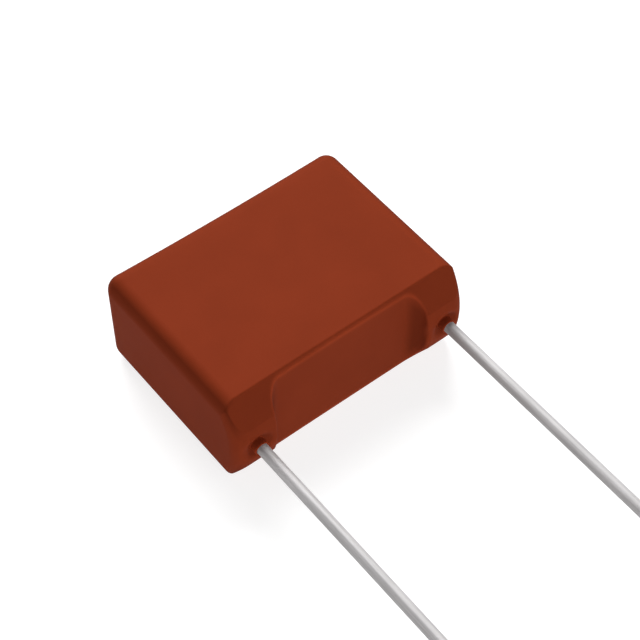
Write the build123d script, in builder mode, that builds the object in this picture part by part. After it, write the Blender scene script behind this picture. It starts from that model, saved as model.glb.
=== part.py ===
from build123d import *
import os

os.makedirs("parts", exist_ok=True)

# Film capacitor, dipped type, lying on one of its two large faces.
# X runs along the lead pitch, the leads point to -Y, and Z is the thickness.
# The origin lies midway between the leads, on their axes, where they leave the resin.

# Leads
lead_pitch = 15.0
wire_d = 0.8
lead_free = 22.0
tip_chamfer = 0.08

# Coined stretch of each lead, welded flat against the winding's end
coined_t = 0.52
coined_w = 1.0
coined_corner_r = 0.2
coining_run = 1.2
weld_margin = 2.0

# Resin body
body_h = 14.5
body_t = 7.7
back_dish = 0.12
back_corner_r = 1.0
edge_r = 1.1

# Lead side of the body: two sloping facets that meet a bowed nose at creases
shoulder_y = 1.8
crease_y = 0.5
crease_z = 1.8
nose_y = 0.25
nose_corner_r = 1.0
facet_edge_r = 0.45

# Dimple round each lead with the walls that make up its foot, between body side and scoop
dimple_r = 1.05
foot_outer_wall = 0.6
foot_inner_wall = 0.45
dimple_depth = 0.4
dimple_rim_r = 0.2

# Thin collar of resin that climbs the wire in its dimple
collar_wall = 0.06
collar_foot = 0.16

# Scoop between the feet
scoop_depth = 1.55
scoop_dish = 0.05
scoop_corner_r = 1.1
rim_r = 0.28

# Winding and its end contacts
resin_wall = 0.75
wrap_t = 0.15
spray_t = 0.4
winding_corner_r = 1.8
spray_edge = 0.15

# Sizes that follow from the ones above
lead_x = lead_pitch / 2
wire_r = wire_d / 2
half_w = lead_x + dimple_r + foot_outer_wall
half_t = body_t / 2
scoop_half = lead_x - dimple_r - foot_inner_wall
spray_x = lead_x - wire_r
winding_x = spray_x - spray_t
roll_t = body_t - 2 * resin_wall
roll_y0 = scoop_depth + scoop_dish + resin_wall
roll_y1 = body_h - back_dish - resin_wall
roll_h = roll_y1 - roll_y0
roll_y = (roll_y0 + roll_y1) / 2
coined_x = spray_x + coined_t / 2
coined_end_y = roll_y1 - weld_margin
dimple_y = nose_y + dimple_depth


# Wound film roll, pressed flat, all its turns as one solid
with BuildPart() as film_winding:
    with BuildSketch(Plane.YZ):
        with Locations((roll_y, 0)):
            RectangleRounded(roll_h - 2 * wrap_t, roll_t - 2 * wrap_t, winding_corner_r - wrap_t)
    extrude(amount=winding_x, both=True)

# Plain film turns that close the roll
with BuildPart() as outer_wrap:
    with BuildSketch(Plane.YZ):
        with Locations((roll_y, 0)):
            RectangleRounded(roll_h, roll_t, winding_corner_r)
        offset(amount=-wrap_t, mode=Mode.SUBTRACT)
    extrude(amount=winding_x, both=True)

# Sprayed zinc end contact, its outer rim broken
with BuildPart() as right_end_spray:
    with BuildSketch(Plane.YZ.offset(winding_x)):
        with Locations((roll_y, 0)):
            RectangleRounded(roll_h, roll_t, winding_corner_r)
    extrude(amount=spray_t)
    outer_face = right_end_spray.faces().sort_by(Axis.X)[-1]
    chamfer(outer_face.edges(), spray_edge)

with BuildPart() as left_end_spray:
    mirror(right_end_spray.part, about=Plane.YZ)

# Tinned wire: round outside the resin, coined flat where it is welded to the spray
with BuildPart() as right_lead:
    with BuildSketch(Plane.XZ.offset(lead_free)):
        with Locations((lead_x, 0)):
            Circle(wire_r)
    extrude(amount=-lead_free)
    cut_end = right_lead.faces().sort_by(Axis.Y)[0]
    chamfer(cut_end.edges(), tip_chamfer)
    with BuildSketch(Plane.XZ):
        with Locations((lead_x, 0)):
            Circle(wire_r)
    with BuildSketch(Plane.XZ.offset(-coining_run)) as coined:
        with Locations((coined_x, 0)):
            RectangleRounded(coined_t, coined_w, coined_corner_r)
    loft()
    extrude(coined.sketch, amount=coining_run - coined_end_y)

with BuildPart() as left_lead:
    mirror(right_lead.part, about=Plane.YZ)

# Dipped resin: a soft-edged block, its lead side drawn to two feet with a scoop between them
with BuildPart() as coating:
    with BuildSketch(Plane.XY.offset(-half_t)) as plan:
        with BuildLine():
            back = ThreePointArc((half_w, body_h), (0, body_h - back_dish), (-half_w, body_h))
            Polyline(back @ 1, (-half_w, 0), (half_w, 0), back @ 0)
        make_face()
        fillet(plan.vertices().group_by(Axis.Y)[-1], back_corner_r)
    extrude(amount=body_t)
    outline = coating.faces().filter_by(Axis.Z).edges()
    fillet(outline - outline.group_by(Axis.Y)[0], edge_r)

    # The lead side's profile, seen along X, trims the block
    with BuildSketch(Plane.YZ):
        with BuildLine():
            nose = ThreePointArc((crease_y, -crease_z), (nose_y, 0), (crease_y, crease_z))
            Polyline(
                nose @ 1,
                (shoulder_y, half_t),
                (body_h, half_t),
                (body_h, -half_t),
                (shoulder_y, -half_t),
                nose @ 0,
            )
        make_face()
    extrude(amount=half_w, both=True, mode=Mode.INTERSECT)

    # Each nose turns widely into the narrow side, which lifts the creases' ends
    nose_ends = coating.edges(Select.LAST).filter_by(GeomType.CIRCLE).group_by(Axis.Y)[0]
    fillet(nose_ends, nose_corner_r)

    # The rest of each facet's outline is rounded less, and its crease stays as it is
    facets = coating.faces().filter_by(GeomType.PLANE).sort_by(Axis.Y)[:2]
    creases = facets.edges().filter_by(Axis.X).sort_by(Axis.Y)[:2]
    lifted_ends = facets.edges().filter_by(GeomType.BSPLINE)
    fillet(facets.edges() - creases - lifted_ends, facet_edge_r)

    # Scoop with a gently dished floor and concave ends, its lip rounded all the way
    with BuildSketch(Plane.XY.offset(-half_t)) as scoop:
        with BuildLine():
            floor = ThreePointArc(
                (-scoop_half, scoop_depth),
                (0, scoop_depth + scoop_dish),
                (scoop_half, scoop_depth),
            )
            Polyline(floor @ 1, (scoop_half, 0), (-scoop_half, 0), floor @ 0)
        make_face()
        fillet(scoop.vertices().group_by(Axis.Y)[-1], scoop_corner_r)
    extrude(amount=body_t, mode=Mode.SUBTRACT)
    lip_and_creases = coating.edges(Select.LAST).filter_by(Axis.Z, reverse=True)
    fillet(lip_and_creases.filter_by(Axis.X, reverse=True), rim_r)

    # Round dimple in each nose, deepest at the wire, and the collar that flares into its floor
    for x in (-lead_x, lead_x):
        exit_plane = Plane(origin=(x, 0, 0))
        wire_axis = Axis((x, 0, 0), (0, 1, 0))
        with BuildSketch(exit_plane):
            with BuildLine():
                bowl = TangentArc((0, dimple_y), (dimple_r, nose_y), tangent=(1, 0))
                Polyline(bowl @ 1, (dimple_r, 0), (0, 0), bowl @ 0)
            make_face()
        revolve(axis=wire_axis, mode=Mode.SUBTRACT)
        dimple_rim = coating.edges(Select.LAST).sort_by(SortBy.LENGTH)[-1]
        fillet(dimple_rim, dimple_rim_r)
        with BuildSketch(exit_plane):
            with BuildLine():
                flare = TangentArc(
                    (wire_r + collar_wall, 0),
                    (wire_r + collar_foot, dimple_y),
                    tangent=(0, 1),
                )
                Polyline(flare @ 1, (0, dimple_y), (0, 0), flare @ 0)
            make_face()
        revolve(axis=wire_axis)

    # The resin fits everything it seals without a gap
    for inner in (film_winding, outer_wrap, left_end_spray, right_end_spray, left_lead, right_lead):
        add(inner.part, mode=Mode.SUBTRACT)

pieces = {
    "coating": coating,
    "film_winding": film_winding,
    "outer_wrap": outer_wrap,
    "left_end_spray": left_end_spray,
    "right_end_spray": right_end_spray,
    "left_lead": left_lead,
    "right_lead": right_lead,
}
for name, piece in pieces.items():
    piece.part.label = name
    export_step(piece.part, f"parts/{name}.step")
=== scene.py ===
"""Film capacitor in dipped resin, dressed for a studio picture.

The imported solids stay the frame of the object. The resin body, the two leads and the sealed winding
are surfaces worked out here with numpy, in the solids' own place and size, so that their soft edges
shade without facets.
"""

import logging
import math
from dataclasses import dataclass
from enum import Enum

import bpy
import numpy as np
from mathutils import Matrix, Vector


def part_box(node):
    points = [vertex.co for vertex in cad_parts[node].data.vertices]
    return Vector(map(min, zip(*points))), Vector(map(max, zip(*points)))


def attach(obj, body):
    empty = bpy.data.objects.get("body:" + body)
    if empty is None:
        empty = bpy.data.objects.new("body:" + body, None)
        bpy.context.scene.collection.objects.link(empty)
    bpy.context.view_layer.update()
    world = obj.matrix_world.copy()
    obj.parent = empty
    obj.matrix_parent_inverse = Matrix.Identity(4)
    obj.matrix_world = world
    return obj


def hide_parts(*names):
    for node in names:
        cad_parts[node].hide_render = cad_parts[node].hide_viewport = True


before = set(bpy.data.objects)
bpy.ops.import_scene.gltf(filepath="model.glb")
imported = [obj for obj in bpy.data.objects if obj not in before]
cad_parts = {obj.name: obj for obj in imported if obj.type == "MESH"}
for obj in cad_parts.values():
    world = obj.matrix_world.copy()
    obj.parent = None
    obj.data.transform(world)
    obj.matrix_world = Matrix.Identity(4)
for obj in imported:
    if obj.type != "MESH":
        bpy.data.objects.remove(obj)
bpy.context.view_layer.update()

Array = np.ndarray
Socket = bpy.types.NodeSocket
Pair = tuple[float, float]
Triple = tuple[float, float, float]
Colour = tuple[float, float, float]

MM = 0.001
ROOT = "root"
PAINTED_LIGHT_ATTRIBUTE = "painted_light_and_shade"

# Driving sizes that several pieces share, in millimetres
LEAD_X = 7.5
WIRE_R = 0.4

# Samples along which grid lines are placed, and digits to which meeting points are merged
LINE_SAMPLES = 4001
MERGE_DIGITS = 7

# Keeps a division from zero
TINY = 1e-12

# Ranges of values: most of a noise pattern, a sine and a share, and the sockets that map them
NOISE_RANGE = (0.3, 0.7)
SINE_RANGE = (-1.0, 1.0)
SHARE_RANGE = (0.0, 1.0)
RANGE_SOCKETS = ("From Min", "From Max", "To Min", "To Max")

log = logging.getLogger("film_capacitor")


class Slot(Enum):
    """The record's material slots."""

    RESIN = "resin"
    METALLISED_FILM = "metallised_film"
    PLAIN_FILM = "plain_film"
    SPRAYED_ZINC = "sprayed_zinc"
    TINNED_WIRE = "tinned_wire"


class Side(Enum):
    """The two halves of the part, by the sign of X."""

    LEFT = -1
    RIGHT = 1

    @property
    def word(self) -> str:
        """The side's name as the nodes spell it."""
        return self.name.lower()


# Shapes as arrays


@dataclass(frozen=True)
class Field:
    """Many points' distance to a surface, negative inside, and the direction in which it rises."""

    value: Array
    rise: Array

    def turned_out(self) -> "Field":
        """The same surface with its inside and outside changed over."""
        return Field(-self.value, -self.rise)

    def trimmed(self, other: "Field", radius: float | Array) -> "Field":
        """Keeps what lies inside both solids, with the edge between them rounded.

        Formula: the setback is the radius times one less the cosine between the two directions.
        Both distances are moved in by the setback. Where both are then positive, the result is
        their length as a vector, and elsewhere the larger one, less the setback.

        Args:
            other: the solid that trims this one.
            radius: radius of the rounded edge.

        Returns:
            The field of the trimmed solid.
        """
        setback = radius * (1.0 - np.sum(self.rise * other.rise, axis=1))
        pair = np.stack([self.value, other.value]) + setback
        beyond = np.maximum(pair, 0.0)
        length = np.hypot(*beyond)
        value = np.minimum(pair.max(axis=0), 0.0) + length - setback
        larger = np.stack([pair[0] >= pair[1], pair[0] < pair[1]]).astype(float)
        share = np.where(length > 0.0, beyond / np.maximum(length, TINY), larger)
        rise = share[0][:, None] * self.rise + share[1][:, None] * other.rise
        return Field(value, rise / np.maximum(np.linalg.norm(rise, axis=1, keepdims=True), TINY))


@dataclass(frozen=True)
class Spot:
    """A place on a grid's axis, the reach round it and the step of the lines there."""

    place: float
    reach: float
    step: float


def both_sides(place: float, reach: float, step: float) -> list[Spot]:
    """The same spot at minus the place and at the place."""
    return [Spot(-place, reach, step), Spot(place, reach, step)]


def graded_lines(low: float, high: float, coarse: float, spots: list[Spot]) -> Array:
    """Places grid lines between two ends, closer together round the named spots.

    Formula: the density of lines is one over the coarse step, plus for each spot a bell curve of
    its reach whose height is one over its step. Lines stand at equal steps of the running sum.

    Args:
        low: first line.
        high: last line.
        coarse: step far from all spots.
        spots: where the lines stand closer.

    Returns:
        The lines' places, rising.
    """
    fine = np.linspace(low, high, LINE_SAMPLES)
    density = np.full_like(fine, 1.0 / coarse)
    for spot in spots:
        density += np.exp(-(((fine - spot.place) / spot.reach) ** 4)) / spot.step
    slices = (density[1:] + density[:-1]) / 2 * np.diff(fine)
    total = np.concatenate(([0.0], np.cumsum(slices)))
    count = int(math.ceil(total[-1])) + 1
    return np.interp(np.linspace(0.0, total[-1], count), total, fine)


def rounded_rectangle(width: float, height: float, radius: float, corner_steps: int) -> Array:
    """Outline of a rounded rectangle about the origin.

    Formula: each quarter arc has its centre at a corner moved in by the radius, and runs through a
    quarter turn.

    Args:
        width: size along the first axis.
        height: size along the second axis.
        radius: radius of the corners.
        corner_steps: steps of each quarter arc.

    Returns:
        Points of the outline, turning from the first axis to the second, one row each.
    """
    turn = np.linspace(0.0, math.pi / 2, corner_steps + 1)
    starts = np.arange(4)[:, None] * math.pi / 2
    angle = starts + turn[None, :]
    middle_x = np.sign(np.cos(starts + math.pi / 4)) * (width / 2 - radius)
    middle_y = np.sign(np.sin(starts + math.pi / 4)) * (height / 2 - radius)
    arcs = [middle_x + radius * np.cos(angle), middle_y + radius * np.sin(angle)]
    return np.stack(arcs, axis=-1).reshape(-1, 2)


def ring_faces(rings: int, around: int, closed: bool) -> Array:
    """Quads between neighbouring rings of points.

    Args:
        rings: number of rings.
        around: points in each ring.
        closed: whether the last ring joins the first.

    Returns:
        Four point numbers for each quad.
    """
    ring = np.arange(rings if closed else rings - 1)[:, None]
    spoke = np.arange(around)[None, :]
    neighbour = (spoke + 1) % around
    here, there = ring * around, (ring + 1) % rings * around
    corners = [here + spoke, here + neighbour, there + neighbour, there + spoke]
    return np.stack(np.broadcast_arrays(*corners), axis=-1).reshape(-1, 4)


def add_piece(
    name: str, points: Array, faces: list[list[int]], normals: Array | None = None
) -> bpy.types.Object:
    """Puts points and faces into a new smooth-shaded mesh object at the origin.

    Args:
        name: name of the piece.
        points: one point a row, in millimetres.
        faces: point numbers of each face, turning left seen from outside.
        normals: direction of the true surface at each point, where it is known.

    Returns:
        The new object.
    """
    mesh = bpy.data.meshes.new(name)
    mesh.from_pydata((points * MM).tolist(), [], faces)
    mesh.update()
    mesh.polygons.foreach_set("use_smooth", np.ones(len(mesh.polygons), dtype=bool))
    if normals is not None:
        mesh.normals_split_custom_set_from_vertices(normals.tolist())
    piece = bpy.data.objects.new(name, mesh)
    bpy.context.scene.collection.objects.link(piece)
    return piece


def add_lofted(name: str, rings: Array) -> bpy.types.Object:
    """Skins rings of points into a closed piece, with a point in the middle of each end.

    Args:
        name: name of the piece.
        rings: rings, points in each ring and coordinates, in millimetres, turning left seen from
            the last ring.

    Returns:
        The new object, with normals that follow its largest faces.
    """
    count, around = rings.shape[:2]
    points = np.vstack([rings.reshape(-1, 3), rings[0].mean(axis=0), rings[-1].mean(axis=0)])
    spoke = np.arange(around)
    neighbour = (spoke + 1) % around
    last, start_middle = (count - 1) * around, np.full(around, count * around)
    start_fan = np.stack([neighbour, spoke, start_middle], axis=-1)
    end_fan = np.stack([last + spoke, last + neighbour, start_middle + 1], axis=-1)
    sides = ring_faces(count, around, closed=False)
    piece = add_piece(name, points, sides.tolist() + start_fan.tolist() + end_fan.tolist())
    shade_by_area(piece)
    return piece


def shade_by_area(piece: bpy.types.Object) -> None:
    """Makes a piece's normals follow its largest faces, so that thin bevels round off its sides.

    Args:
        piece: the piece.
    """
    shading = piece.modifiers.new("area_normals", "WEIGHTED_NORMAL")
    shading.mode = "FACE_AREA"
    shading.weight = 100


def set_painted_light(piece: bpy.types.Object, painted_light: Array) -> None:
    """Writes the painted light and shade at each point of a piece, which its finish reads as a factor
    on its colour.
    """
    attribute = piece.data.attributes.new(PAINTED_LIGHT_ATTRIBUTE, "FLOAT", "POINT")
    attribute.data.foreach_set("value", painted_light.astype(np.float32))


# Finishes


@dataclass(frozen=True)
class Noise:
    """A noise pattern: how many to a unit of the coordinates, its finer layers, their weight."""

    scale: float
    detail: float
    roughness: float


class NodeSheet:
    """A new material's node tree, with short calls to add and join nodes."""

    def __init__(self, name: str) -> None:
        """Makes the material and keeps its shader.

        Args:
            name: name of the material.
        """
        self.material = bpy.data.materials.new(name)
        self.material.use_nodes = True
        self.tree = self.material.node_tree
        self.shader = self.tree.nodes["Principled BSDF"]

    def add(
        self, kind: str, inputs: dict[str, object] | None = None, **settings: object
    ) -> bpy.types.Node:
        """Adds a node.

        Args:
            kind: the node's type name.
            inputs: values for its sockets, by name.
            settings: its own properties.

        Returns:
            The new node.
        """
        node = self.tree.nodes.new(kind)
        for key, value in settings.items():
            setattr(node, key, value)
        for key, value in (inputs or {}).items():
            node.inputs[key].default_value = value
        return node

    def join(self, source: Socket, target: Socket) -> None:
        """Links one socket to another."""
        self.tree.links.new(source, target)

    def feed(self, source: Socket, name: str) -> None:
        """Links a socket to one of the shader's, by name."""
        self.join(source, self.shader.inputs[name])

    def set(self, values: dict[str, object]) -> None:
        """Sets sockets of the shader, by name."""
        for key, value in values.items():
            self.shader.inputs[key].default_value = value

    def place(self, stretch: Triple = (1.0, 1.0, 1.0), shift: Triple = (0.0, 0.0, 0.0)) -> Socket:
        """Object coordinates in millimetres, stretched for a pattern.

        Args:
            stretch: how much finer the pattern is along each axis.
            shift: how far the pattern is moved, in its own units.

        Returns:
            The socket that carries the coordinates.
        """
        coordinates = self.add("ShaderNodeTexCoord")
        per_metre = tuple(value / MM for value in stretch)
        mapping = self.add("ShaderNodeMapping", {"Scale": per_metre, "Location": shift})
        self.join(coordinates.outputs["Object"], mapping.inputs["Vector"])
        return mapping.outputs["Vector"]

    def noise(self, place: Socket, noise: Noise) -> Socket:
        """Adds a noise pattern.

        Args:
            place: coordinates that it reads.
            noise: its scale and layers.

        Returns:
            The socket that carries the pattern's value.
        """
        layers = {"Scale": noise.scale, "Detail": noise.detail, "Roughness": noise.roughness}
        node = self.add("ShaderNodeTexNoise", layers)
        self.join(place, node.inputs["Vector"])
        return node.outputs["Fac"]

    def span(self, value: Socket, source: Pair, target: Pair) -> Socket:
        """Maps a value from one range to another.

        Args:
            value: the socket that carries it.
            source: its range.
            target: the range wanted.

        Returns:
            The socket that carries the mapped value.
        """
        node = self.add("ShaderNodeMapRange", dict(zip(RANGE_SOCKETS, (*source, *target))))
        self.join(value, node.inputs["Value"])
        return node.outputs["Result"]

    def math(self, operation: str, first: Socket, second: Socket | float = 0.0) -> Socket:
        """Works out one value from one or two others.

        Args:
            operation: name of the sum.
            first: first value.
            second: second value, as a socket or a number.

        Returns:
            The socket that carries the result.
        """
        node = self.add("ShaderNodeMath", operation=operation)
        self.join(first, node.inputs[0])
        if isinstance(second, float):
            node.inputs[1].default_value = second
        else:
            self.join(second, node.inputs[1])
        return node.outputs["Value"]

    def blend(self, first: Socket, second: Socket, share: float) -> Socket:
        """Adds two noise patterns.

        Args:
            first: first pattern.
            second: second pattern.
            share: share of the first one.

        Returns:
            The socket that carries the sum, from about 0 to 1.
        """
        first_part = self.span(first, NOISE_RANGE, (0.0, share))
        second_part = self.span(second, NOISE_RANGE, (0.0, 1.0 - share))
        return self.math("ADD", first_part, second_part)

    def tint(self, factor: Socket, colour: Colour, variation: float) -> Socket:
        """Varies a colour's lightness with a pattern.

        Args:
            factor: the pattern, from 0 for darkest to 1 for lightest.
            colour: the colour in the middle.
            variation: share by which it darkens and lightens.

        Returns:
            The socket that carries the varied colour.
        """
        node = self.add("ShaderNodeMix", data_type="RGBA")
        self.join(factor, node.inputs["Factor"])
        for name, strength in (("A", 1.0 - variation), ("B", 1.0 + variation)):
            node.inputs[name].default_value = (*(part * strength for part in colour), 1.0)
        return node.outputs["Result"]

    def bump(self, height: Socket, depth: float, under: Socket | None = None) -> Socket:
        """Raises the surface by a pattern.

        Args:
            height: the pattern.
            depth: height of a full step of it, in millimetres.
            under: normal of a coarser relief below this one.

        Returns:
            The socket that carries the normal.
        """
        node = self.add("ShaderNodeBump", {"Strength": 1.0, "Distance": depth * MM})
        self.join(height, node.inputs["Height"])
        if under is not None:
            self.join(under, node.inputs["Normal"])
        return node.outputs["Normal"]


@dataclass(frozen=True)
class ResinFinish:
    """Dull red-brown epoxy: broad faint mottling, fine pigment grain and a soft skin.

    An attribute scales its colour by painted light and shade: 1 as usual, less under painted shade,
    more under a painted highlight.
    """

    colour: Colour = (0.172, 0.0255, 0.0087)
    mottle: Noise = Noise(0.28, 2.0, 0.5)
    grain: Noise = Noise(11.0, 3.0, 0.6)
    skin: Noise = Noise(1.1, 1.0, 0.4)
    mottle_share: float = 0.6
    variation: float = 0.065
    skin_depth: float = 0.006
    grain_depth: float = 0.0012
    roughness: Pair = (0.46, 0.56)
    refraction: float = 1.5
    gloss: float = 0.005

    def make(self) -> bpy.types.Material:
        """Builds the material.

        Returns:
            The material.
        """
        sheet = NodeSheet("dipped_resin")
        place = sheet.place()
        mottle = sheet.noise(place, self.mottle)
        grain = sheet.noise(place, self.grain)
        skin = sheet.noise(place, self.skin)
        both = sheet.blend(mottle, grain, self.mottle_share)
        # the attribute carries painted light and shade and scales the resin's colour
        painted_light = sheet.add("ShaderNodeAttribute", attribute_name=PAINTED_LIGHT_ATTRIBUTE)
        toned = sheet.add("ShaderNodeVectorMath", operation="SCALE")
        sheet.join(sheet.tint(both, self.colour, self.variation), toned.inputs["Vector"])
        sheet.join(painted_light.outputs["Fac"], toned.inputs["Scale"])
        sheet.feed(toned.outputs["Vector"], "Base Color")
        sheet.feed(sheet.span(grain, NOISE_RANGE, self.roughness), "Roughness")
        relief = sheet.bump(skin, self.skin_depth)
        sheet.feed(sheet.bump(grain, self.grain_depth, relief), "Normal")
        sheet.set({"IOR": self.refraction, "Specular IOR Level": self.gloss})
        return sheet.material


@dataclass(frozen=True)
class TinFinish:
    """Dull tin on drawn wire, with faint streaks and marks along it."""

    colour: Colour = (0.435, 0.423, 0.425)
    marks: Noise = Noise(1.0, 4.0, 0.6)
    marks_stretch: Triple = (9.0, 0.12, 9.0)
    blush: Noise = Noise(1.0, 2.0, 0.5)
    blush_stretch: Triple = (0.6, 0.35, 0.6)
    marks_share: float = 0.7
    variation: float = 0.22
    mark_depth: float = 0.0005
    roughness: Pair = (0.56, 0.68)
    metal_share: float = 0.4
    gloss: float = 0.1

    def make(self) -> bpy.types.Material:
        """Builds the material.

        Returns:
            The material.
        """
        sheet = NodeSheet("tinned_wire")
        marks = sheet.noise(sheet.place(self.marks_stretch), self.marks)
        blush = sheet.noise(sheet.place(self.blush_stretch), self.blush)
        both = sheet.blend(marks, blush, self.marks_share)
        sheet.feed(sheet.tint(both, self.colour, self.variation), "Base Color")
        sheet.feed(sheet.span(marks, NOISE_RANGE, self.roughness), "Roughness")
        sheet.feed(sheet.bump(marks, self.mark_depth), "Normal")
        sheet.set({"Metallic": self.metal_share, "Specular IOR Level": self.gloss})
        return sheet.material


@dataclass(frozen=True)
class WoundFilmFinish:
    """Metallised film, with its turns seen as fine rings on the two ends of the roll."""

    colour: Colour = (0.36, 0.37, 0.39)
    core_half: Pair = (3.8, 1.25)
    turn: float = 0.09
    middle: float = 7.9
    variation: float = 0.3
    ring_depth: float = 0.004
    metal_share: float = 0.8
    roughness: float = 0.32

    def make(self) -> bpy.types.Material:
        """Builds the material.

        Formula: rings follow the sine of the distance from the roll's flat middle.

        Returns:
            The material.
        """
        sheet = NodeSheet("wound_film")
        place = sheet.place(shift=(0.0, -self.middle, 0.0))
        parts = sheet.add("ShaderNodeSeparateXYZ")
        sheet.join(place, parts.inputs["Vector"])
        squares = []
        for axis, half in zip(("Y", "Z"), self.core_half):
            beyond = sheet.math("SUBTRACT", sheet.math("ABSOLUTE", parts.outputs[axis]), half)
            squares.append(sheet.math("POWER", sheet.math("MAXIMUM", beyond, 0.0), 2.0))
        distance = sheet.math("SQRT", sheet.math("ADD", *squares))
        rings = sheet.math("SINE", sheet.math("MULTIPLY", distance, 2 * math.pi / self.turn))
        share = sheet.span(rings, SINE_RANGE, SHARE_RANGE)
        sheet.feed(sheet.tint(share, self.colour, self.variation), "Base Color")
        sheet.feed(sheet.bump(rings, self.ring_depth), "Normal")
        sheet.set({"Metallic": self.metal_share, "Roughness": self.roughness})
        return sheet.material


@dataclass(frozen=True)
class PlainFilmFinish:
    """Milky clear film, glossy, with faint stretch lines round the roll."""

    colour: Colour = (0.62, 0.60, 0.53)
    lines: Noise = Noise(1.0, 2.0, 0.5)
    lines_stretch: Triple = (4.0, 0.2, 0.2)
    variation: float = 0.05
    line_depth: float = 0.003
    roughness: float = 0.2

    def make(self) -> bpy.types.Material:
        """Builds the material.

        Returns:
            The material.
        """
        sheet = NodeSheet("plain_film")
        lines = sheet.noise(sheet.place(self.lines_stretch), self.lines)
        share = sheet.span(lines, NOISE_RANGE, SHARE_RANGE)
        sheet.feed(sheet.tint(share, self.colour, self.variation), "Base Color")
        sheet.feed(sheet.bump(lines, self.line_depth), "Normal")
        sheet.set({"Roughness": self.roughness})
        return sheet.material


@dataclass(frozen=True)
class ZincFinish:
    """Flame-sprayed zinc: dull grey metal in fused droplets."""

    colour: Colour = (0.30, 0.31, 0.33)
    droplets: float = 6.0
    grain: Noise = Noise(14.0, 3.0, 0.6)
    variation: float = 0.25
    droplet_depth: float = 0.02
    grain_depth: float = 0.01
    metal_share: float = 0.85
    roughness: float = 0.6

    def make(self) -> bpy.types.Material:
        """Builds the material.

        Returns:
            The material.
        """
        sheet = NodeSheet("sprayed_zinc")
        place = sheet.place()
        drops = sheet.add("ShaderNodeTexVoronoi", {"Scale": self.droplets})
        sheet.join(place, drops.inputs["Vector"])
        grain = sheet.noise(place, self.grain)
        share = sheet.span(grain, NOISE_RANGE, SHARE_RANGE)
        sheet.feed(sheet.tint(share, self.colour, self.variation), "Base Color")
        relief = sheet.bump(drops.outputs["Distance"], self.droplet_depth)
        sheet.feed(sheet.bump(grain, self.grain_depth, relief), "Normal")
        sheet.set({"Metallic": self.metal_share, "Roughness": self.roughness})
        return sheet.material


def dress(piece: bpy.types.Object, finish: bpy.types.Material, slot: Slot, *nodes: str) -> None:
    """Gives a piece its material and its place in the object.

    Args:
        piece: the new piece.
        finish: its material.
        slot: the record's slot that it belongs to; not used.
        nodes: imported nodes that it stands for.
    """
    piece.data.materials.append(finish)
    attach(piece, ROOT)
    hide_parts(*nodes)
    mesh = piece.data
    log.info("%s: %d points, %d faces", piece.name, len(mesh.vertices), len(mesh.polygons))


# The object's pieces, sizes in millimetres


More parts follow.
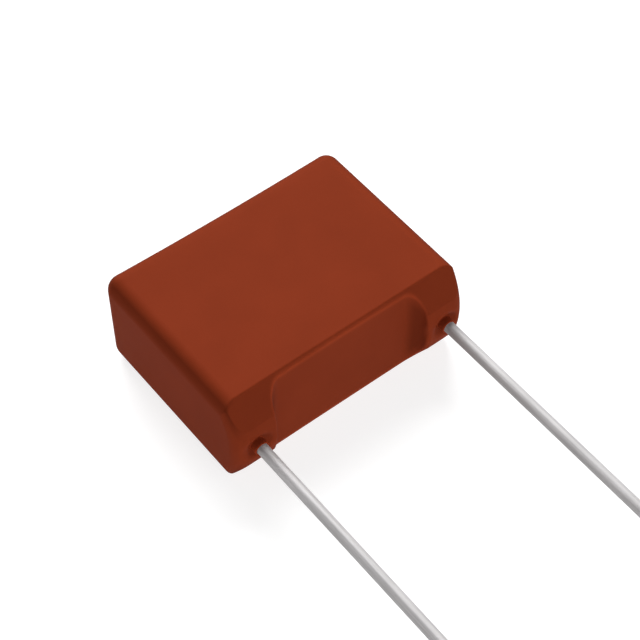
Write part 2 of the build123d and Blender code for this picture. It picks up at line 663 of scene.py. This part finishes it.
@dataclass
class ResinBody:
    """The dipped body: a soft block drawn to two feet at the leads, with a scoop and dimples."""

    half_w: float
    half_t: float

    # Block, a hair lower than the solid so as to stay inside its box
    height: float = 14.499
    back_dish: float = 0.12
    back_corner: float = 1.0
    edge: float = 1.1

    # Facets and noses
    shoulder_y: float = 1.8
    shoulder_edge: float = 0.22
    crease_y: float = 0.5
    crease_z: float = 1.8
    crease_r: float = 0.12
    nose_y: float = 0.25
    nose_corner: float = 1.0
    facet_edge: float = 0.45

    # Scoop and dimples
    scoop_half: float = 6.0
    scoop_y: float = 1.55
    scoop_dish: float = 0.05
    scoop_corner: float = 1.1
    rim: float = 0.28
    dimple_r: float = 1.05
    dimple_depth: float = 0.4
    dimple_rim: float = 0.5

    # Grid: its coarse steps, the middle of the feet and of the creases' lifted ends, and the inner
    # box from which its points set out
    grid_step: Triple = (0.9, 1.1, 0.6)
    feet_y: float = 0.6
    lifted_z: float = 1.95
    core_inset: Triple = (1.0, 2.4, 1.8)
    halvings: int = 32

    # Painted shade on the rounded edges and in the scoop's ends, and a painted highlight on the
    # scoop's lip
    painted_edge_shade: float = 0.36
    edge_tilt: Pair = (0.15, 0.35)
    painted_end_shade: float = 0.24
    end_reach: float = 0.34
    end_start: float = 0.6
    painted_lip_highlight: float = 0.40
    lip_reach: float = 0.11

    @property
    def dimple_y(self) -> float:
        """Depth of the dimples' floor."""
        return self.nose_y + self.dimple_depth

    @property
    def bowl_r(self) -> float:
        """Radius of the ball that leaves a dimple."""
        return (self.dimple_r**2 + self.dimple_depth**2) / (2 * self.dimple_depth)

    @property
    def slope(self) -> float:
        """Angle between the facets and the large faces."""
        return math.atan2(self.shoulder_y - self.crease_y, self.half_t - self.crease_z)

    def wall(self, points: Array, axis: int, place: float) -> Field:
        """Two flat walls, equally far from the middle.

        Args:
            points: where the distance is wanted.
            axis: the axis that the walls are square to.
            place: their distance from the middle.

        Returns:
            The field of the slab between them.
        """
        rise = np.zeros_like(points)
        rise[:, axis] = np.sign(points[:, axis])
        return Field(np.abs(points[:, axis]) - place, rise)

    def arched(self, points: Array, place: float, dish: float, reach: float) -> Field:
        """A wall across Y that sinks in the middle.

        Formula: its height is the place less the dish, which fades with the square of X towards the
        reach. The direction is square to that curve.

        Args:
            points: where the distance is wanted.
            place: the wall's height at the reach.
            dish: how far it sinks in the middle.
            reach: the X at which it stops sinking.

        Returns:
            The field of what lies below it.
        """
        share = np.clip(points[:, 0] / reach, -1.0, 1.0)
        ones, zeros = np.ones(len(points)), np.zeros(len(points))
        rise = np.stack([-2 * dish * share / reach, ones, zeros], axis=-1)
        value = points[:, 1] - place + dish * (1 - share**2)
        return Field(value, rise / np.linalg.norm(rise, axis=1, keepdims=True))

    def block(self, points: Array) -> Field:
        """The soft block: a plan of two sides and the dished back, trimmed by the large faces.

        Args:
            points: where the distance is wanted.

        Returns:
            Its field.
        """
        back = self.arched(points, self.height, self.back_dish, self.half_w)
        plan = self.wall(points, 0, self.half_w).trimmed(back, self.back_corner)
        return plan.trimmed(self.wall(points, 2, self.half_t), self.edge)

    def nose(self, points: Array) -> Field:
        """The bowed nose, drawn out to the back.

        Formula: a cylinder along X through both creases and the foremost line.

        Args:
            points: where the distance is wanted.

        Returns:
            Its field.
        """
        bow = self.crease_y - self.nose_y
        radius = (self.crease_z**2 + bow**2) / (2 * bow)
        ahead = np.minimum(points[:, 1] - self.nose_y - radius, 0.0)
        length = np.maximum(np.hypot(ahead, points[:, 2]), TINY)
        rise = np.stack([np.zeros(len(points)), ahead, points[:, 2]], axis=-1)
        return Field(length - radius, rise / length[:, None])

    def facet(self, points: Array) -> Field:
        """The two sloping facets.

        Formula: on each side a plane from the crease to the shoulder.

        Args:
            points: where the distance is wanted.

        Returns:
            The field of what lies behind them.
        """
        outward, back = np.abs(points[:, 2]) - self.crease_z, points[:, 1] - self.crease_y
        rise = np.zeros_like(points)
        rise[:, 1] = -math.cos(self.slope)
        rise[:, 2] = np.sign(points[:, 2]) * math.sin(self.slope)
        return Field(outward * math.sin(self.slope) - back * math.cos(self.slope), rise)

    def scoop(self, points: Array) -> Field:
        """The tool that leaves the scoop: two walls and a dished floor with rounded corners.

        Args:
            points: where the distance is wanted.

        Returns:
            Its field.
        """
        floor_y = self.scoop_y + self.scoop_dish
        floor = self.arched(points, floor_y, -self.scoop_dish, self.scoop_half)
        return self.wall(points, 0, self.scoop_half).trimmed(floor, self.scoop_corner)

    def dimples(self, points: Array) -> Field:
        """The two balls that leave the dimples.

        Formula: the distance to a ball's middle, on the wire's axis, less its radius.

        Args:
            points: where the distance is wanted.

        Returns:
            Their field.
        """
        off_axis = np.abs(points[:, 0]) - LEAD_X
        along = points[:, 1] - self.dimple_y + self.bowl_r
        arm = np.stack([off_axis, along, points[:, 2]], axis=-1)
        length = np.linalg.norm(arm, axis=1)
        arm[:, 0] *= np.sign(points[:, 0])
        return Field(length - self.bowl_r, arm / length[:, None])

    def uncut(self, points: Array) -> Field:
        """The body before its scoop and dimples.

        Formula: facets and noses trim the block. The facets' rounding passes from that of the
        narrow sides to that of the shoulders as the block's own direction turns up.

        Args:
            points: where the distance is wanted.

        Returns:
            Its field.
        """
        block = self.block(points)
        upward = np.abs(block.rise[:, 2])
        rounding = self.facet_edge * (1 - upward) + self.shoulder_edge * upward
        behind_facets = block.trimmed(self.facet(points), rounding)
        sides = self.wall(points, 0, self.half_w)
        behind_nose = sides.trimmed(self.nose(points), self.nose_corner)
        return behind_facets.trimmed(behind_nose, self.crease_r)

    def whole(self, points: Array) -> Field:
        """The whole body, cut by the scoop and the dimples."""
        body = self.uncut(points).trimmed(self.scoop(points).turned_out(), self.rim)
        return body.trimmed(self.dimples(points).turned_out(), self.dimple_rim)

    def grid_lines(self) -> tuple[Array, Array, Array]:
        """Places the cage's lines, closer together where the body turns tightly.

        Returns:
            The lines along X, Y and Z.
        """
        x_spots = (
            both_sides(self.scoop_half, reach=0.05, step=0.010)
            + both_sides(self.scoop_half, reach=0.35, step=0.035)
            + both_sides(self.scoop_half - self.scoop_corner / 2, reach=0.70, step=0.07)
            + both_sides(LEAD_X, reach=1.35, step=0.060)
            + both_sides(self.half_w, reach=1.2, step=0.075)
        )
        y_spots = [
            Spot(self.shoulder_y, reach=0.30, step=0.035),
            Spot(self.feet_y, reach=0.9, step=0.09),
            Spot(self.height, reach=1.2, step=0.11),
        ]
        z_spots = (
            both_sides(self.lifted_z, reach=0.32, step=0.035)
            + both_sides(self.half_t, reach=1.2, step=0.11)
            + [Spot(0.0, reach=1.35, step=0.065)]
        )
        return (
            graded_lines(-self.half_w, self.half_w, self.grid_step[0], x_spots),
            graded_lines(0.0, self.height, self.grid_step[1], y_spots),
            graded_lines(-self.half_t, self.half_t, self.grid_step[2], z_spots),
        )

    def cage(self) -> tuple[Array, Array]:
        """Six grids on the block's box, joined at their edges.

        Returns:
            The points, and the quads as point numbers.
        """
        lines = self.grid_lines()
        points, quads, used = [], [], 0
        for axis, (u, v) in enumerate(((1, 2), (2, 0), (0, 1))):
            grid_u, grid_v = np.meshgrid(lines[u], lines[v], indexing="ij")
            number = np.arange(grid_u.size).reshape(grid_u.shape)
            corners = [number[:-1, :-1], number[1:, :-1], number[1:, 1:], number[:-1, 1:]]
            turning = np.stack(corners, axis=-1).reshape(-1, 4)
            for place, order in ((lines[axis][-1], 1), (lines[axis][0], -1)):
                grid = np.empty((grid_u.size, 3))
                grid[:, axis] = place
                grid[:, u] = grid_u.ravel()
                grid[:, v] = grid_v.ravel()
                points.append(grid)
                quads.append(turning[:, ::order] + used)
                used += len(grid)
        rounded = np.round(np.vstack(points), MERGE_DIGITS)
        merged, number = np.unique(rounded, axis=0, return_inverse=True)
        return merged, number.ravel()[np.vstack(quads)]

    def surface(self) -> tuple[Array, Array, Array]:
        """The body's surface.

        Formula: each point of the cage moves along the line from the nearest point of an inner
        box, and halving steps find where the distance to the body is zero. The normal is the
        direction in which the distance rises.

        Returns:
            Points, quads and normals.
        """
        cage, quads = self.cage()
        inset = np.array(self.core_inset)
        low = np.array([-self.half_w, 0.0, -self.half_t]) + inset
        high = np.array([self.half_w, self.height, self.half_t]) - inset
        base = np.clip(cage, low, high)
        way = cage - base
        inner = np.zeros(len(base))
        outer = np.ones(len(base))
        for _ in range(self.halvings):
            middle = (inner + outer) / 2
            outside = self.whole(base + way * middle[:, None]).value > 0
            outer = np.where(outside, middle, outer)
            inner = np.where(outside, inner, middle)
        points = base + way * inner[:, None]
        return points, quads, self.whole(points).rise

    def painted_light(self, points: Array, normals: Array) -> Array:
        """Painted light and shade on the resin: painted shade on its rounded edges and in the scoop's
        ends, a painted highlight on its lip.

        Formula: an edge's share is one less the best match between the normal and the flat faces'
        directions, set against half a right angle, on the edges of the large faces and the facets
        but not along the scoop. A scoop end's share is a bell curve along X, a third of its
        corner's radius from its wall, below the lip. The lip's share is a bell curve of the
        distance to both surfaces that meet in it.

        Args:
            points: points of the surface.
            normals: their normals.

        Returns:
            The factor on the resin's colour at each point, 1 where nothing is painted.
        """
        upward = np.abs(normals[:, 2])
        facet = upward * math.sin(self.slope) - normals[:, 1] * math.cos(self.slope)
        match = np.max([np.abs(normals[:, 0]), normals[:, 1], upward, facet], axis=0)
        share = np.clip((1.0 - match) / (1.0 - math.cos(math.pi / 4)), 0.0, 1.0)
        tilt = np.interp(upward, self.edge_tilt, SHARE_RANGE)
        clear_of_scoop = (points[:, 1] > self.shoulder_y) | (np.abs(points[:, 0]) > LEAD_X)
        # painted shade on the rounded edges
        edge = share * tilt * clear_of_scoop
        to_scoop, to_outside = self.scoop(points).value, self.uncut(points).value
        near_scoop = (to_scoop / self.lip_reach) ** 2
        near_outside = (to_outside / self.lip_reach) ** 2
        off_end = np.abs(points[:, 0]) - (self.scoop_half - self.scoop_corner / 3)
        # painted shade in the scoop's concave ends
        end = np.exp(-((off_end / self.end_reach) ** 2) - near_scoop)
        end *= np.clip(-to_outside / self.end_reach - self.end_start, 0.0, 1.0)
        # painted highlight along the scoop's lip
        lip = np.exp(-near_scoop - near_outside)
        return 1.0 - self.painted_edge_shade * edge - self.painted_end_shade * end + self.painted_lip_highlight * lip

    def build(self, resin: bpy.types.Material) -> None:
        """Makes the body.

        Args:
            resin: its finish.
        """
        points, quads, normals = self.surface()
        piece = add_piece("resin_body", points, quads.tolist(), normals)
        # the resin's colour carries painted shade on edges and in the scoop's ends, and a painted
        # highlight on its lip
        set_painted_light(piece, self.painted_light(points, normals))
        dress(piece, resin, Slot.RESIN, "coating")


@dataclass
class LeadWire:
    """A tinned wire: round outside the resin, coined flat where it is welded to the end spray."""

    side: Side
    free: float
    weld_end: float
    radius: float = WIRE_R
    tip: float = 0.08
    coined_t: float = 0.52
    coined_w: float = 1.0
    coined_corner: float = 0.2
    coining: float = 1.2

    # Rings: their number along the free and the coined run, and their distance from the runs' ends
    free_rings: int = 45
    tip_gap: float = 0.3
    exit_gap: float = 0.2
    coining_rings: int = 7
    weld_gap: float = 0.05
    corner_steps: int = 12

    def round_section(self) -> Array:
        """The round wire's outline, with as many points as the coined one."""
        return rounded_rectangle(2 * self.radius, 2 * self.radius, self.radius, self.corner_steps)

    def coined_section(self) -> Array:
        """The coined outline, its inner flat in line with the round wire's inner side.

        Returns:
            Its points, one row each.
        """
        sizes = (self.coined_t, self.coined_w, self.coined_corner)
        outline = rounded_rectangle(*sizes, self.corner_steps)
        outline[:, 0] += self.coined_t / 2 - self.radius
        return outline

    def stations(self) -> Array:
        """Places of the rings along the wire: cut end, free run, coining run and weld.

        Returns:
            The places as Y, rising.
        """
        bevel_end = -self.free + self.tip
        free_run = np.linspace(bevel_end + self.tip_gap, -self.exit_gap, self.free_rings)
        coining_run = np.linspace(0.0, self.coining, self.coining_rings)
        weld = [self.weld_end - self.weld_gap, self.weld_end]
        return np.concatenate([[-self.free, bevel_end], free_run, coining_run, weld])

    def rings(self) -> Array:
        """Rings along the wire.

        Formula: the section at each station is the round outline times one less the share, plus
        the coined outline times the share, which rises from 0 to 1 over the coining run. The cut
        end shrinks by the tip's bevel.

        Returns:
            Rings, points in each ring and coordinates.
        """
        y = self.stations()
        share = np.clip(y / self.coining, 0.0, 1.0)[:, None, None]
        outline = self.round_section() * (1 - share) + self.coined_section() * share
        outline[0] *= 1 - self.tip / self.radius
        x = self.side.value * (LEAD_X + outline[..., 0])
        z = self.side.value * outline[..., 1]
        rings = np.stack([x, np.broadcast_to(y[:, None], x.shape), z], axis=-1)
        return rings[:, ::-1]

    def build(self, tin: bpy.types.Material) -> None:
        """Makes the wire in its finish."""
        piece = add_lofted(f"{self.side.word}_wire", self.rings())
        dress(piece, tin, Slot.TINNED_WIRE, f"{self.side.word}_lead")


@dataclass
class ResinCollar:
    """The thin meniscus of resin that climbs the wire out of its dimple."""

    side: Side
    dimple_y: float
    bowl_r: float
    wall: float = 0.11
    foot: float = 0.16
    # Painted highlight: the collar's resin is drawn lighter by this factor
    painted_light: float = 1.4

    # How strongly the flare keeps to its first and last direction, and how far the ring sinks into
    # the body and the wire
    leave_pull: float = 0.85
    arrive_pull: float = 0.6
    body_sink: float = 0.05
    wire_sink: float = 0.02
    lip_points: int = 9
    flare_points: int = 15
    around: int = 64

    def profile(self) -> Array:
        """The ring's section, from inside the wire over the lip down to the bowl.

        Formula: a half turn makes the lip, and a cubic curve leaves it along the axis and meets the
        bowl along the bowl's own slope.

        Returns:
            Distance from the axis and place along it, one row a point.
        """
        lip = self.wall / 2
        turn = np.linspace(math.pi, 2 * math.pi, self.lip_points)
        lip_arc = [WIRE_R + lip + lip * np.cos(turn), lip + lip * np.sin(turn)]
        foot_r = WIRE_R + self.foot
        foot_y = self.dimple_y - foot_r**2 / (2 * self.bowl_r)
        start = np.array([WIRE_R + self.wall, lip])
        end = np.array([foot_r, foot_y])
        leave = start + np.array([0.0, (foot_y - lip) * self.leave_pull])
        arrive = end - np.array([1.0, -foot_r / self.bowl_r]) * self.foot * self.arrive_pull
        t = np.linspace(0.0, 1.0, self.flare_points)[1:, None]
        flare = (1 - t) ** 3 * start + 3 * (1 - t) ** 2 * t * leave
        flare += 3 * (1 - t) * t**2 * arrive + t**3 * end
        sunk_r, sunk_y = WIRE_R - self.wire_sink, foot_y + self.body_sink
        sunk = np.array([[foot_r, sunk_y], [sunk_r, sunk_y], [sunk_r, self.wall]])
        return np.vstack([np.stack(lip_arc, axis=-1), flare, sunk])

    def build(self, resin: bpy.types.Material) -> None:
        """Turns the profile round the wire's axis into a closed ring.

        Args:
            resin: its finish.
        """
        profile = self.profile()
        angle = np.linspace(0.0, 2 * math.pi, self.around, endpoint=False)
        x = self.side.value * LEAD_X + profile[:, :1] * np.cos(angle)
        z = profile[:, :1] * np.sin(angle)
        y = np.broadcast_to(profile[:, 1:], x.shape)
        points = np.stack([x, y, z], axis=-1).reshape(-1, 3)
        faces = ring_faces(len(profile), self.around, closed=True).tolist()
        piece = add_piece(f"{self.side.word}_resin_collar", points, faces)
        # the collar's colour carries its painted highlight
        set_painted_light(piece, np.full(len(points), self.painted_light))
        dress(piece, resin, Slot.RESIN)


@dataclass
class FilmRoll:
    """The wound film pressed flat, its wrap of plain film and the sprayed metal on its ends."""

    low_y: float
    high_y: float
    half_t: float
    half_w: float
    spray_t: float
    wrap_t: float = 0.15
    corner: float = 1.8
    spray_bevel: float = 0.15
    film_bevel: float = 0.02
    corner_steps: int = 16

    def at(self, x: float, inset: float) -> Array:
        """The roll's outline as a ring at one place along X.

        Args:
            x: the place.
            inset: how far the outline is moved in.

        Returns:
            The ring's points.
        """
        width, height = self.high_y - self.low_y - 2 * inset, 2 * (self.half_t - inset)
        outline = rounded_rectangle(width, height, self.corner - inset, self.corner_steps)
        outline[:, 0] += (self.high_y + self.low_y) / 2
        return np.column_stack([np.full(len(outline), x), outline])

    def build_winding(self) -> None:
        """Makes the winding, its end edges lightly bevelled."""
        edge_x, bevelled = self.half_w - self.film_bevel, self.wrap_t + self.film_bevel
        stations = [(-self.half_w, bevelled), (-edge_x, self.wrap_t)]
        stations += [(edge_x, self.wrap_t), (self.half_w, bevelled)]
        winding = add_lofted("wound_film", np.array([self.at(*station) for station in stations]))
        dress(winding, WoundFilmFinish().make(), Slot.METALLISED_FILM, "film_winding")

    def build_wrap(self) -> None:
        """Makes the wrap: a sleeve whose outer and inner outlines close into one ring."""
        stations = [(-self.half_w, 0.0), (self.half_w, 0.0)]
        stations += [(self.half_w, self.wrap_t), (-self.half_w, self.wrap_t)]
        rings = np.array([self.at(*station) for station in stations])
        faces = ring_faces(len(rings), rings.shape[1], closed=True).tolist()
        wrap = add_piece("plain_film_wrap", rings.reshape(-1, 3), faces)
        shade_by_area(wrap)
        dress(wrap, PlainFilmFinish().make(), Slot.PLAIN_FILM, "outer_wrap")

    def build_spray(self, side: Side, zinc: bpy.types.Material) -> None:
        """Makes the sprayed end on one side, its outer rim bevelled.

        Args:
            side: the side.
            zinc: its finish.
        """
        outer = self.half_w + self.spray_t
        stations = [(self.half_w, 0.0), (outer - self.spray_bevel, 0.0), (outer, self.spray_bevel)]
        rings = np.array([self.at(*station) for station in stations])
        rings[..., 0] *= side.value
        spray = add_lofted(f"{side.word}_sprayed_end", rings[:, ::side.value])
        dress(spray, zinc, Slot.SPRAYED_ZINC, f"{side.word}_end_spray")

    def build(self) -> None:
        """Makes the winding, its wrap and both end sprays."""
        self.build_winding()
        self.build_wrap()
        zinc = ZincFinish().make()
        for side in Side:
            self.build_spray(side, zinc)


# The studio


@dataclass(frozen=True)
class Softbox:
    """A rectangular light that faces the object: middle and sides in metres, power in watts."""

    name: str
    place: Triple
    sides: Pair
    power: float

    def build(self) -> None:
        """Adds the light."""
        data = bpy.data.lights.new(self.name, "AREA")
        data.shape = "RECTANGLE"
        data.size, data.size_y = self.sides
        data.energy = self.power
        light = bpy.data.objects.new(self.name, data)
        light.location = self.place
        light.rotation_euler = (-Vector(self.place)).to_track_quat("-Z", "Y").to_euler()
        bpy.context.scene.collection.objects.link(light)


@dataclass
class Studio:
    """A pale floor, soft lights and the camera at the photograph's angle."""

    floor_z: float

    # Floor, its half width in metres
    floor_half: float = 3.0
    floor_grey: float = 0.32
    floor_glow: float = 0.80
    floor_roughness: float = 0.9

    # Camera: angles in degrees, distance in millimetres and the pixel on which the origin falls
    azimuth: float = -38.346
    elevation: float = 52.528
    distance: float = 110.918
    origin_pixel: Pair = (358.15, 386.27)
    frame_pixels: float = 640.0
    lens: float = 100.0
    sensor: float = 36.0
    clip: Pair = (0.001, 10.0)

    # Room: angles above the horizon between which its walls fade, and the light below and above
    wall_top: Pair = (11.0, 20.0)
    wall_light: float = 1.0
    room_light: float = 0.04
    softboxes: tuple[Softbox, ...] = (
        Softbox("back_softbox", (0.20, 0.38, 0.42), (0.42, 0.42), 6.7),
        Softbox("left_softbox", (-0.38, 0.38, 0.26), (0.40, 0.25), 0.3),
        Softbox("front_fill", (0.0, -0.56, 0.22), (0.40, 0.25), 1.4),
        Softbox("right_fill", (0.36, -0.36, 0.32), (0.40, 0.40), 0.35),
    )

    def camera_place(self) -> tuple[Vector, Matrix]:
        """Where the camera stands and how it is turned.

        Formula: the camera looks back along its azimuth and elevation, and stands so that the
        frame's origin falls on its pixel at the stated depth.

        Returns:
            Its place in metres, and its axes as a rotation.
        """
        a, e = math.radians(self.azimuth), math.radians(self.elevation)
        back = Vector((math.sin(a) * math.cos(e), -math.cos(a) * math.cos(e), math.sin(e)))
        right = Vector((math.cos(a), math.sin(a), 0.0))
        up = back.cross(right)
        per_pixel = self.sensor / self.lens / self.frame_pixels * self.distance
        across = (self.origin_pixel[0] - self.frame_pixels / 2) * per_pixel
        down = (self.origin_pixel[1] - self.frame_pixels / 2) * per_pixel
        place = back * self.distance - right * across + up * down
        return place * MM, Matrix((right, up, back)).transposed()

    def add_camera(self) -> None:
        """Makes the camera."""
        data = bpy.data.cameras.new("camera")
        data.lens = self.lens
        data.sensor_width = self.sensor
        data.clip_start, data.clip_end = self.clip
        camera = bpy.data.objects.new("camera", data)
        bpy.context.scene.collection.objects.link(camera)
        place, turn = self.camera_place()
        camera.matrix_world = Matrix.Translation(place) @ turn.to_4x4()
        bpy.context.scene.camera = camera

    def add_floor(self) -> None:
        """Adds a pale floor under the part."""
        half, z = self.floor_half, self.floor_z * MM
        corners = [(-half, -half, z), (half, -half, z), (half, half, z), (-half, half, z)]
        mesh = bpy.data.meshes.new("floor")
        mesh.from_pydata(corners, [], [(0, 1, 2, 3)])
        floor = bpy.data.objects.new("floor", mesh)
        bpy.context.scene.collection.objects.link(floor)
        sheet = NodeSheet("pale_floor")
        sheet.set(
            {
                "Base Color": (self.floor_grey, self.floor_grey, self.floor_grey, 1.0),
                "Roughness": self.floor_roughness,
                "Specular IOR Level": 0.0,
                "Emission Color": (1.0, 1.0, 1.0, 1.0),
                "Emission Strength": self.floor_glow,
            }
        )
        mesh.materials.append(sheet.material)

    def add_room(self) -> None:
        """Adds the even light of the room: pale walls that fade into a darker ceiling."""
        world = bpy.data.worlds.new("room")
        world.use_nodes = True
        tree = world.node_tree
        background = tree.nodes["Background"]
        background.inputs["Color"].default_value = (1.0, 1.0, 1.0, 1.0)
        direction = tree.nodes.new("ShaderNodeTexCoord")
        parts = tree.nodes.new("ShaderNodeSeparateXYZ")
        fade = tree.nodes.new("ShaderNodeMapRange")
        fade.interpolation_type = "SMOOTHSTEP"
        low, high = (math.sin(math.radians(angle)) for angle in self.wall_top)
        for name, value in zip(RANGE_SOCKETS, (low, high, self.wall_light, self.room_light)):
            fade.inputs[name].default_value = value
        tree.links.new(direction.outputs["Generated"], parts.inputs["Vector"])
        tree.links.new(parts.outputs["Z"], fade.inputs["Value"])
        tree.links.new(fade.outputs["Result"], background.inputs["Strength"])
        bpy.context.scene.world = world

    def build(self) -> None:
        """Sets up the studio."""
        self.add_floor()
        for softbox in self.softboxes:
            softbox.build()
        self.add_room()
        self.add_camera()
        bpy.context.scene.view_settings.view_transform = "Standard"


def in_mm(corner: Vector) -> Array:
    """A corner of a box in millimetres."""
    return np.array(corner) / MM


def main() -> None:
    """Builds the pieces in order, their sizes taken from the imported solids' boxes."""
    logging.basicConfig(level=logging.INFO, format="%(name)s: %(message)s")
    body_low, body_high = map(in_mm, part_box("coating"))
    lead_low, lead_high = map(in_mm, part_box("right_lead"))
    roll_low, roll_high = map(in_mm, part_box("outer_wrap"))
    spray_low, spray_high = map(in_mm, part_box("right_end_spray"))

    resin, tin = ResinFinish().make(), TinFinish().make()
    body = ResinBody(half_w=body_high[0], half_t=body_high[2])
    body.build(resin)
    for side in Side:
        LeadWire(side=side, free=-lead_low[1], weld_end=lead_high[1]).build(tin)
        ResinCollar(side=side, dimple_y=body.dimple_y, bowl_r=body.bowl_r).build(resin)
    FilmRoll(
        low_y=roll_low[1],
        high_y=roll_high[1],
        half_t=roll_high[2],
        half_w=roll_high[0],
        spray_t=spray_high[0] - spray_low[0],
    ).build()
    Studio(floor_z=body_low[2]).build()


if __name__ == "__main__":
    main()
